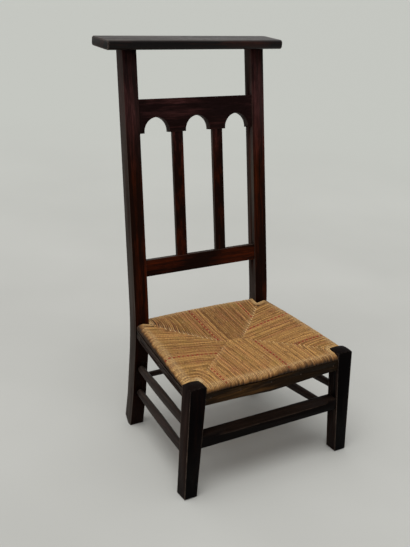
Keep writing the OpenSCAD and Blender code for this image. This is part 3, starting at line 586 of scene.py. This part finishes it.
def roll(inner, outer, top, foot, strip=None):
    """The way over a rail, from its inner line at the top to its inner line at the foot, as distance
    outwards, height, sink, edge and low. strip is the top of the strip on the rail's face, how far
    above it the strand carries painted shade and some dirt, and over which height that comes in."""
    way = []
    for degrees in OVER_ROLL:
        turn = math.radians(degrees)
        z = top - ROLL_R * (1 - math.cos(turn))
        reach, low = 0.0, 0.0
        if strip:
            tuck, fringe, fade = strip
            # painted shade, with some dirt, where the roll turns under towards the strip
            reach, low = ROLL_REACH, clamp((tuck + fringe - z) / fade)
        out = inner + (ROLL_R + reach) * math.sin(turn)
        way.append((out, z, SINK, rub_and_highlight(0.5 * ROLL_R * turn), low))
    if strip:
        way.append((outer + TURN_OUT, tuck + TURN_ABOVE, SINK_AT_STRIP, 0.0, 1.0))
        way.append((outer, tuck - TUCKED, SINK_BEHIND_STRIP, 0.0, 1.0))
    way.append((outer, foot + ROLL_R, SINK_BEHIND_STRIP if strip else SINK))
    for degrees in UNDER_ROLL:
        turn = math.radians(degrees)
        way.append((inner + ROLL_R * math.sin(turn), foot + ROLL_R * (1 - math.cos(turn))))
    return way


def end_roll(x, sign, fringe):
    """Over the front or back rail at a given x. The back rail has no strip."""
    top = END_TOP[sign] + rise(min(u_share(x, RUSH_MID + sign * FLAT), 1.0), 1.0, sign)
    strip = (front_strip_top(x), fringe, END_FADE) if sign < 0 else None
    way = roll(FLAT, RUSH_HALF_D, top, END_FOOT[sign], strip)
    return [spot(x, RUSH_MID + sign * out, *rest) for out, *rest in way]


def side_roll(y, sign, fringe):
    """Over the left or right rail at a given y."""
    top = side_top(y) + rise(1.0, min(v_share(y), 1.0), 0)
    tuck = min(side_strip_top(y), top - ROLL_R - 2)
    way = roll(side_half(y) - ROLL_R, side_half(y), top, side_foot(y), (tuck, fringe, SIDE_FADE))
    return [spot(sign * out, y, *rest) for out, *rest in way]


def end_path(x, sign, finger, fringe, bright):
    """Front or back strand at a given x, from its tip on the upper mitre round to the lower mitre. The tip
    lies as a finger over the side strands, and the rear strands by the left post bow away from it."""
    start = 0.0
    for v in np.linspace(0, 1, 200):
        if u_share(x, RUSH_MID + sign * v * FLAT) <= v:
            start = v
            break
    mitre = RUSH_MID + sign * start * FLAT
    run = (1 - start) * FLAT
    # the tips' painted highlight fades near the ridge
    bright *= min(max((abs(x) - RIDGE_HALF) / DULL_WIDTH, LEAST_BRIGHT), 1.0)
    finger_spots = (   # how far beyond the mitre, how high and how bright
        (finger + 1.8, -3.0, 1),
        (finger, 0.5, 1),
        (finger * 0.5, 1.0, 0.9),
        (-1.0, 0.7, 0.4),
    )
    spots = []
    for beyond, lift, tip in finger_spots:
        y = mitre - sign * beyond
        spots.append(spot(x, y, top_height(x, y) + lift, tip=tip * bright))
    bow = BOW * min(max((-x - BOW_START) / BOW_WIDTH, 0), run / BOW_RUN, 1) if sign > 0 else 0.0
    steps = max(FEWEST_STEPS, int(run / SPOT_STEP))
    for i in range(1, steps + 1):
        along = START_ALONG + (run - START_ALONG) * i / steps
        y = mitre + sign * along
        arch = math.sin(math.pi * along / run)
        bowed = x + bow * arch
        swell = arch * min(run / SWELL_RUN, 1)
        spots.append(spot(bowed, y, top_height(bowed, y) + swell, edge=rub_and_highlight(run - along)))
    spots += end_roll(x, sign, fringe)
    for share in np.linspace(0.8, 0, 5):
        y = RUSH_MID + sign * (start + (1 - start) * share) * FLAT
        spots.append(spot(x, y, foot_height(x, y)))
    y = mitre - sign * PAST_MITRE
    spots.append(spot(x, y, foot_height(x, y) + PAST_MITRE))
    return spots


def side_path(y_rail, sign, fringe):
    """Left or right strand that crosses its rail at y_rail, square to the rail. Its tip dives under the
    end strands at the mitre."""
    backwards = (y_rail - BEND_START) / (SEAT_D - BEND_START)
    bend = math.cos(backwards * math.pi) * 0.4 + 0.6

    def at(t):
        """X and Y of the point t inwards from the roll's inner line."""
        share = t / SIDE_RUN
        bow = SIDE_BOW * math.sin(math.pi * min(share, 1.0)) - SIDE_TURN * share ** 2
        return side_half(y_rail) - ROLL_R - t, y_rail - SIDE_SLOPE * t + bow * bend

    end = SIDE_END
    for t in np.arange(0, SIDE_END, 0.5):
        x, y = at(t)
        if x <= RIDGE_HALF or u_share(x, y) <= v_share(y):
            end = t
            break
    spots = []
    for beyond, drop, low in ((5.0, 4.5, 0.0), (1.0, 1.2, 0.4)):
        x, y = at(end + beyond)
        spots.append(spot(sign * x, y, top_height(x, y) - drop, low=low))
    steps = max(FEWEST_STEPS, int(end / SPOT_STEP))
    for i in range(steps, -1, -1):
        t = end * SIDE_FLAT * i / steps
        x, y = at(t)
        swell = math.sin(math.pi * t / end) * min(end / SWELL_RUN, 1)
        spots.append(spot(sign * x, y, top_height(x, y) + swell, edge=rub_and_highlight(t)))
    spots += side_roll(y_rail, sign, fringe)
    for share in np.linspace(0.2, 1, 5):
        x, y = at(end * share)
        spots.append(spot(sign * x, y, foot_height(x, y)))
    x, y = at(end + PAST_MITRE)
    spots.append(spot(sign * x, y, foot_height(x, y) + PAST_MITRE))
    return spots


def corner_path(x_sign, y_sign, gap):
    """A strand that keeps by a leg or post: over the end rail, round the corner and over the side rail.
    Returns its spots and its sideways direction at each."""
    inner_x, inner_y = INNER_CORNER[y_sign]
    x0, y0 = inner_x - gap, inner_y - y_sign * gap
    arc = gap + CORNER_ROUND
    # rubbing and a painted highlight on the strands round the corner, with a painted highlight on the tips,
    # strongest at the front left leg
    rub_and_highlight_share = clamp(1.7 - gap / 8.0)   # full on the inmost strand, none from the fourth on
    tip = rub_and_highlight_share if (x_sign, y_sign) == (-1, -1) else 0.3 * rub_and_highlight_share
    inward, outward = (-y_sign, 0.0, 0.0), (0.0, -x_sign, 0.0)

    spots = end_roll(x_sign * x0, y_sign, front_fringe(x_sign * x0))[::-1]
    sides = [inward] * len(spots)
    turn_y = y0 + y_sign * arc
    start_y = RUSH_MID + y_sign * FLAT
    for share in (0.0, 0.5):
        y = start_y + (turn_y - start_y) * share
        edge = max(rub_and_highlight_share, rub_and_highlight(y - start_y))
        spots.append(spot(x_sign * x0, y, top_height(x0, y) + CORNER_LIFT, edge=edge))
        sides.append(inward)
    steps = max(FEWEST_STEPS, int(arc / ARC_STEP))
    for turn in np.linspace(0, math.pi / 2, steps + 1):
        x = x0 + arc * (1 - math.cos(turn))
        y = turn_y - y_sign * arc * math.sin(turn)
        lift = CORNER_LIFT + ARC_LIFT * math.sin(2 * turn)
        spots.append(spot(x_sign * x, y, top_height(x, y) + lift, edge=rub_and_highlight_share, tip=tip))
        sides.append((-y_sign * math.cos(turn), -x_sign * math.sin(turn), 0.0))
    end_x = side_half(y0) - ROLL_R
    for share in (0.35, 0.7, 1.0):
        x = x0 + arc + (end_x - x0 - arc) * share
        edge = max(rub_and_highlight_share, rub_and_highlight(end_x - x))
        spots.append(spot(x_sign * x, y0, top_height(x, y0) + CORNER_LIFT, edge=edge))
        sides.append(outward)
    over_side = side_roll(y0, x_sign, side_fringe(y0))
    return spots + over_side, sides + [outward] * len(over_side)


def wedge_path(x_sign, y_sign, gap, step):
    """A short strand that carries on the round of the corner strands, between the outermost of them, at
    gap, and the first straight ones. Both its ends dive."""
    inner_x, inner_y = INNER_CORNER[y_sign]
    arc = gap + CORNER_ROUND
    radius = arc + step * PITCH
    first = math.acos(min((arc + WEDGE_CLEAR) / radius, WEDGE_COSINE))
    count = max(FEWEST_STEPS, int(radius * (math.pi / 2 - 2 * first) / ARC_STEP))
    turns = np.linspace(first, math.pi / 2 - first, count)
    spots, sides = [], []
    for i, turn in enumerate(turns):
        x = inner_x + CORNER_ROUND - radius * math.cos(turn)
        y = inner_y + y_sign * CORNER_ROUND - y_sign * radius * math.sin(turn)
        drop = DIVE if i in (0, len(turns) - 1) else 0.0
        spots.append(spot(x_sign * x, y, top_height(x, y) + ARC_LIFT - drop))
        sides.append((-y_sign * math.cos(turn), -x_sign * math.sin(turn), 0.0))
    return spots, sides


def wander(n, size):
    """A smooth random line of n values, with a new random value at every second one."""
    knots = np.arange(0, n + 2, 2)
    return np.interp(np.arange(n), knots, rng.normal(0, size, len(knots)))


def directions(points, side):
    """Unit vectors out of the surface and across the strand at each of its points."""
    tangent = np.gradient(points, axis=0)
    tangent /= np.linalg.norm(tangent, axis=1)[:, None]
    up = np.cross(np.array(side, float), tangent)
    up /= np.linalg.norm(up, axis=1)[:, None]
    return up, np.cross(tangent, up)


class Strands:
    """Collects tubes into one mesh with the attributes that the rush material reads."""

    SIDES = 8
    KEYS = ("tone", "red", "pink", "run", "turn", "groove", "edge", "low", "tip")
    # How far a strand strays across and out of the surface, and how much its girth changes along it and
    # from strand to strand
    STRAY_ACROSS, STRAY_OUT, UNEVEN, VARIED = 0.28, 0.16, 0.05, 0.03
    # How much deeper the darkest strand lies than the lightest, its girth, what the lightest has more, and
    # how thin the ends are
    DARK_DEPTH, DARK_GIRTH, LIGHT_GIRTH, END_GIRTH = 0.4, 0.96, 0.08, 0.6
    # Over which part of its radius the painted shade on a strand grows from its top to the groove, over
    # which length its turns can be shifted and how far its noise can, in metres
    GROOVE, RUN_CHANCE, SEED_CHANCE = 0.85, 0.02, 50

    def __init__(self):
        self.co, self.faces = [], []
        self.values = {key: [] for key in self.KEYS}
        self.seeds = []
        self.count = 0

    def add(self, spots, side, tone, red=0.0, pink=0.0):
        """Sweeps a tube along spots. side is the strand's sideways direction, one vector or one for each
        spot. Dark strands lie a little deeper and are a little thinner than light ones."""
        table = np.array(spots, float)
        points, depth, looks = table[:, :3], table[:, 3], table[:, 4:]
        up, across = directions(points, side)
        n, k = len(points), self.SIDES
        centre = points - up * (depth[:, None] + self.DARK_DEPTH * (1 - tone))
        stray, lift = wander(n, self.STRAY_ACROSS), wander(n, self.STRAY_OUT)
        centre += across * stray[:, None] + up * lift[:, None]
        girth = self.DARK_GIRTH + self.LIGHT_GIRTH * tone + wander(n, self.UNEVEN)
        girth = STRAND_R * (girth + rng.normal(0, self.VARIED))
        girth[[0, -1]] *= self.END_GIRTH
        angles = -math.pi / 2 + 2 * math.pi * np.arange(k) / k
        ring = np.cos(angles)[:, None] * across[:, None, :] + np.sin(angles)[:, None] * up[:, None, :]
        self.co.append((centre[:, None, :] + girth[:, None, None] * ring).reshape(-1, 3))
        self.add_faces(n)
        run = np.concatenate([[0], np.cumsum(np.linalg.norm(np.diff(points, axis=0), axis=1))]) * MM
        values = {
            "tone": np.full(n * k, tone), "red": np.full(n * k, red), "pink": np.full(n * k, pink),
            "run": np.repeat(run + rng.uniform(0, self.RUN_CHANCE), k),
            "turn": np.tile(np.arange(k) / k, n),
            "groove": np.tile(np.clip((1.0 - np.sin(angles)) / self.GROOVE, 0, 1), n),
            **{key: np.repeat(looks[:, i], k) for i, key in enumerate(("edge", "low", "tip"))},
        }
        for key, value in values.items():
            self.values[key].append(value)
        seed = np.zeros((n * k, 3))
        seed[:, 0] = np.repeat(run, k)
        self.seeds.append(seed + rng.uniform(-self.SEED_CHANCE, self.SEED_CHANCE, 3))
        self.count += n * k

    def add_faces(self, rings):
        """Joins a new tube's rings, and closes its two ends."""
        base, k = self.count, self.SIDES
        for start in range(base, base + (rings - 1) * k, k):
            for j in range(k):
                a, b = start + j, start + (j + 1) % k
                self.faces.append((a, b, b + k, a + k))
        self.faces.append(tuple(base + j for j in reversed(range(k))))
        self.faces.append(tuple(base + (rings - 1) * k + j for j in range(k)))

    def piece(self, name):
        """An object of all the strands added so far, in the frame's place."""
        co = np.concatenate(self.co)
        co[:, 1] -= MID_Y
        mesh = bpy.data.meshes.new(name)
        mesh.from_pydata((co * MM).tolist(), [], self.faces)
        for key, parts in self.values.items():
            attribute = mesh.attributes.new(key, "FLOAT", "POINT")
            attribute.data.foreach_set("value", np.concatenate(parts).astype(np.float32))
        attribute = mesh.attributes.new("seed", "FLOAT_VECTOR", "POINT")
        attribute.data.foreach_set("vector", np.concatenate(self.seeds).astype(np.float32).ravel())
        mesh.shade_smooth()
        mesh.update()
        return new_object(name, mesh)


# Where the red-turned strands cross their rails: x on the front and back rails, y on the side rails
RED_ENDS = {-1: (-127.0, 43.0), 1: (-38.0, 103.0)}
RED_SIDES = {-1: (133.0,), 1: (207.0, 87.0)}
# The tone of each panel's dark strands, what the painted light of a lit strand adds to it, and what chance
# adds or takes
END_TONE, SIDE_TONE = {-1: 0.28, 1: 0.1}, 0.33
LIT_GAIN, TONE_CHANCE = 0.36, 0.26
CORNER_TONE, CORNER_LIT_GAIN = 0.25, 0.5   # the same for the strands round the corners, without chance
# How pink a pink strand is, how often one is, and how often two strands in turn are painted alike, both lit
# or both shaded
PINK, PINK_CHANCE, ALIKE_CHANCE = 0.35, 0.08, 0.3
# How far a strand's tip lies over the mitre and how strong its painted highlight is, for every first and
# second strand, and the share of that highlight on the front and back panel
FINGERS = ((1.2, 0.1), (4.4, 1.0))
TIP_SHARE = {-1: 0.5, 1: 1.0}
# Between which values chance moves each strand's tip and the top of its painted shade and dirt in front and
# at the sides
FINGER_CHANCE, FRONT_SHADE_AND_DIRT_CHANCE, SIDE_SHADE_AND_DIRT_CHANCE = (-0.5, 0.7), (-2.5, 3.0), (-1.5, 1.5)


def lit_and_shaded(count):
    """Painted light and shade: lit (1) and shaded (0) strands in turn, which stand for the two strands of
    each twisted cord. Now and then two are alike."""
    values, light = [], 1.0
    while len(values) < count:
        values += [light] * (2 if rng.random() < ALIKE_CHANCE else 1)
        light = 1.0 - light
    return values[:count]


class Looks:
    """Gives each strand of a panel its tone and marks the red ones."""

    def __init__(self, places, reds, tone):
        self.tone = tone
        self.red = {int(np.argmin([abs(p - r) for p in places])) for r in reds}
        self.lit_turn = lit_and_shaded(len(places))

    def at(self, i):
        """The looks of strand i, as Strands.add takes them."""
        # painted light and shade: a lit strand is lighter than the shaded ones beside it
        tone = self.tone + LIT_GAIN * self.lit_turn[i] + rng.uniform(-TONE_CHANCE, TONE_CHANCE)
        beside_red = any(abs(i - r) == 1 for r in self.red)
        pink = PINK if beside_red or rng.random() < PINK_CHANCE else 0.0
        return {"tone": clamp(tone), "red": float(i in self.red), "pink": pink}


def spread(first, last):
    """Places for strands from first to last, about a pitch apart."""
    return np.linspace(first, last, int(round((last - first) / PITCH)) + 1)


def corner_reach(x_sign, y_sign):
    """How far from a leg or post the first straight strand lies."""
    return CLEAR + PITCH * CORNER_STRANDS[x_sign, y_sign]


def weave_corner(strands, x_sign, y_sign):
    """The strands carried round one corner, lit and shaded in turn with painted light, the inmost one
    lightest as a painted highlight, and the short ones past them.
    """
    gaps = [CLEAR + PITCH * i for i in range(CORNER_STRANDS[x_sign, y_sign])]
    tones = iter([CORNER_TONE + CORNER_LIT_GAIN * lit_turn for lit_turn in lit_and_shaded(20)])
    for gap in gaps:
        spots, sides = corner_path(x_sign, y_sign, gap)
        strands.add(spots, sides, tone=1.0 if gap == CLEAR else next(tones))
    for step in range(1, 2 + int(DIAGONAL_REST * gaps[-1] / PITCH)):
        spots, sides = wedge_path(x_sign, y_sign, gaps[-1], step)
        strands.add(spots, sides, tone=next(tones))


def weave_end(strands, sign):
    """The straight strands of the front or back panel."""
    inner_x = INNER_CORNER[sign][0]
    places = spread(corner_reach(-1, sign) - inner_x, inner_x - corner_reach(1, sign))
    looks = Looks(places, RED_ENDS[sign], END_TONE[sign])
    for i, x in enumerate(places):
        finger, bright = FINGERS[i % 2]
        finger += rng.uniform(*FINGER_CHANCE)
        fringe = front_fringe(x) + rng.uniform(*FRONT_SHADE_AND_DIRT_CHANCE)
        path = end_path(x, sign, finger, fringe, bright * TIP_SHARE[sign])
        strands.add(path, (sign, 0, 0), **looks.at(i))


def weave_side(strands, sign):
    """The straight strands of the left or right panel."""
    first = INNER_CORNER[-1][1] + corner_reach(sign, -1)
    last = INNER_CORNER[1][1] - corner_reach(sign, 1)
    places = spread(first, last)
    looks = Looks(places, RED_SIDES[sign], SIDE_TONE)
    for i, y in enumerate(places):
        fringe = side_fringe(y) + rng.uniform(*SIDE_SHADE_AND_DIRT_CHANCE)
        strands.add(side_path(y, sign, fringe), (0, -sign, 0), **looks.at(i))


def weave():
    """All the strands, as one piece."""
    strands = Strands()
    for x_sign, y_sign in CORNER_STRANDS:
        weave_corner(strands, x_sign, y_sign)
    for sign in (-1, 1):
        weave_end(strands, sign)
    for sign in (-1, 1):
        weave_side(strands, sign)
    return strands.piece("rush_strands")


def core():
    """The inner layer under the strands, dark with painted shade: the solid's own form, drawn in a little.
    """
    drawn_in = 0.7
    bm = solid("rush_seat")
    bm.normal_update()
    for v in bm.verts:
        v.co -= v.normal * drawn_in * MM
    return new_object("rush_core", mesh_of(bm, "rush_core"))


def wad(node):
    """Loose straw in its pocket: the node's form, a little swollen and lumpy."""
    swell, lumps = 0.5, 0.4
    bm = solid(node)
    bmesh.ops.subdivide_edges(bm, edges=bm.edges, cuts=6, use_grid_fill=True)
    bm.normal_update()
    for v in bm.verts:
        v.co += v.normal * (swell + lumps * math.sin(v.co.x * 700) * math.cos(v.co.y * 500)) * MM
    return new_object(node + "_straw", mesh_of(bm, node + "_straw"))


# The chair

# sides and tops set each wood's painted grey sheen, with grey dust on the upper faces
back_wood = wood("back_wood", rgb(26, 9, 3), rgb(80, 28, 6), rgb(84, 58, 46), rgb(74, 68, 63),
                 warm_share=0.6, rough=0.4, level=0.03, sides=0.8, tops=0.6, low_dark=(0.15, 0.32),
                 high=(rgb(32, 17, 18), rgb(84, 50, 50)))
rest_wood = wood("rest_wood", rgb(14, 8, 8), rgb(58, 26, 18), rgb(140, 124, 114), rgb(84, 78, 74),
                 warm_share=0.5, rough=0.36, level=0.14, arris_wear_and_highlight_level=1.0, tops=0.9, rim=0.006)
leg_wood = wood("leg_wood", rgb(6, 4, 4), rgb(24, 12, 8), rgb(120, 104, 92), rgb(62, 46, 40),
                warm_share=0.4, rough=0.42, level=0.02, arris_wear_and_highlight_level=0.9, sides=0.5, tops=0.12, rim=0.0035)
bar_wood = wood("bar_wood", rgb(11, 7, 6), rgb(32, 18, 12), rgb(72, 58, 48), rgb(62, 48, 40),
                warm_share=0.4, rough=0.42, level=0.03, arris_wear_and_highlight_level=0.6, tops=0.35, rim=0.003)
rung_wood = wood("rung_wood", rgb(28, 20, 17), rgb(64, 46, 40), rgb(104, 88, 78), rgb(84, 72, 64),
                 warm_share=0.55, rough=0.5, level=0.1, sides=0.3, tops=0.5)
strip_wood = wood("strip_wood", rgb(32, 20, 8), rgb(88, 60, 30), rgb(104, 80, 52), rgb(84, 60, 34),
                  warm_share=0.55, rough=0.55, level=0.05)

# Each piece's wood, the radius of its arrises in millimetres, and its grain
PAIRS = (
    ("back_post", back_wood, 1.2, grain_post),
    ("front_leg", leg_wood, 1.3, grain_z),
    ("back_slat", back_wood, 0.8, grain_z),
    ("upper_rung", rung_wood, 0.8, grain_y),
    ("lower_rung", rung_wood, 0.8, grain_y),
    ("seat_rail", leg_wood, 0.8, grain_y),
    ("seat_strip", leg_wood, 0.8, grain_y),
)
BARS = (
    ("elbow_rest", rest_wood, 1.8, grain_x),
    ("arcaded_rail", back_wood, 1.0, grain_x),
    ("cross_rail", back_wood, 1.2, grain_x),
    ("front_stretcher", bar_wood, 1.0, grain_x),
    ("back_stretcher", rung_wood, 0.8, grain_x),
    ("seat_rail_front", leg_wood, 0.8, grain_x),
    ("seat_rail_back", leg_wood, 0.8, grain_x),
)
for side in ("left", "right"):
    for kind, material, width, grain in PAIRS:
        node = f"{kind}_{side}"
        dress(bevelled(node, width, grain), node, material)
for node, material, width, grain in BARS:
    dress(bevelled(node, width, grain), node, material)
dress(bevelled("seat_strip_front", 1.0, grain_x), "seat_strip_front", strip_wood)

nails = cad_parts["strip_nails"]
nails.data.materials.clear()
nails.data.materials.append(iron_material())

dress(weave(), "rush_seat", rush_material())
rush_shade = straw_material("rush_shade", rgb(46, 32, 18), rgb(84, 60, 34))
dress(core(), "rush_seat", rush_shade)
straw = straw_material("stuffing", rgb(120, 96, 56), rgb(172, 146, 96))
for side in ("front", "back", "left", "right"):
    dress(wad(f"stuffing_{side}"), f"stuffing_{side}", straw)


# Floor, light and camera

FLOOR_RADIUS = 40.0
BACKGROUND = rgb(196, 198, 192)
DOME_BRIGHTEST, DOME_DIM, DOME_BRIGHT = Vector((-0.6, 0.35, 0.8)), 0.15, 0.78
LENS = 75.59
CAMERA_PLACE = (-1.0828, -1.5095, 1.1383)
CAMERA_RIGHT, CAMERA_UP = Vector((0.84016, -0.53702, 0.07580)), Vector((0.14215, 0.35292, 0.92479))


def disc(name, radius):
    """A flat round face at height 0."""
    corners = 96
    angles = [2 * math.pi * i / corners for i in range(corners)]
    ring = [(radius * math.cos(a), radius * math.sin(a), 0) for a in angles]
    mesh = bpy.data.meshes.new(name)
    mesh.from_pydata(ring, [], [tuple(range(corners))])
    return new_object(name, mesh)


def world_light():
    """A pale dome, brightest in one direction, and plain where the camera sees it."""
    world = bpy.data.worlds.new("dome")
    bpy.context.scene.world = world
    world.use_nodes = True
    tree = world.node_tree
    tree.nodes.clear()
    kinds = ("OutputWorld", "Background", "Background", "MixShader",
             "LightPath", "TexCoord", "VectorMath", "MapRange")
    out, light, seen, pick, path, ray, facing, level = (tree.nodes.new("ShaderNode" + k) for k in kinds)
    facing.operation = "DOT_PRODUCT"
    facing.inputs[1].default_value = DOME_BRIGHTEST.normalized()
    spans = (("From Min", -1.0), ("From Max", 1.0), ("To Min", DOME_DIM), ("To Max", DOME_BRIGHT))
    for key, value in spans:
        level.inputs[key].default_value = value
    light.inputs["Color"].default_value = (1, 1, 1, 1)
    seen.inputs["Color"].default_value = BACKGROUND
    for source, target in (
            (ray.outputs["Generated"], facing.inputs[0]),
            (facing.outputs["Value"], level.inputs["Value"]),
            (level.outputs["Result"], light.inputs["Strength"]),
            (path.outputs["Is Camera Ray"], pick.inputs["Fac"]),
            (light.outputs["Background"], pick.inputs[1]),
            (seen.outputs["Background"], pick.inputs[2]),
            (pick.outputs["Shader"], out.inputs["Surface"])):
        tree.links.new(source, target)


def sun(name, direction, strength, degrees):
    """A sun that shines in one direction, as soft as a light that looks so many degrees wide."""
    light = bpy.data.lights.new(name, "SUN")
    light.energy = strength
    light.angle = math.radians(degrees)
    obj = new_object(name, light)
    obj.rotation_mode = "QUATERNION"
    obj.rotation_quaternion = Vector(direction).to_track_quat("-Z", "Y")


def make_camera():
    """The photo's camera, solved from points of the chair."""
    camera = bpy.data.cameras.new("camera")
    camera.sensor_fit = "HORIZONTAL"
    camera.sensor_width = 36.0
    camera.lens = LENS
    camera.clip_start, camera.clip_end = 0.05, 100.0
    obj = new_object("camera", camera)
    turn = Matrix((CAMERA_RIGHT, CAMERA_UP, CAMERA_RIGHT.cross(CAMERA_UP))).transposed().to_4x4()
    obj.matrix_world = Matrix.Translation(CAMERA_PLACE) @ turn
    bpy.context.scene.camera = obj


floor = disc("floor", FLOOR_RADIUS)
floor.data.materials.append(floor_material())
world_light()
sun("window", (0.3, 0.08, -1.0), 1.5, 48)
make_camera()
bpy.context.scene.view_settings.view_transform = "Standard"
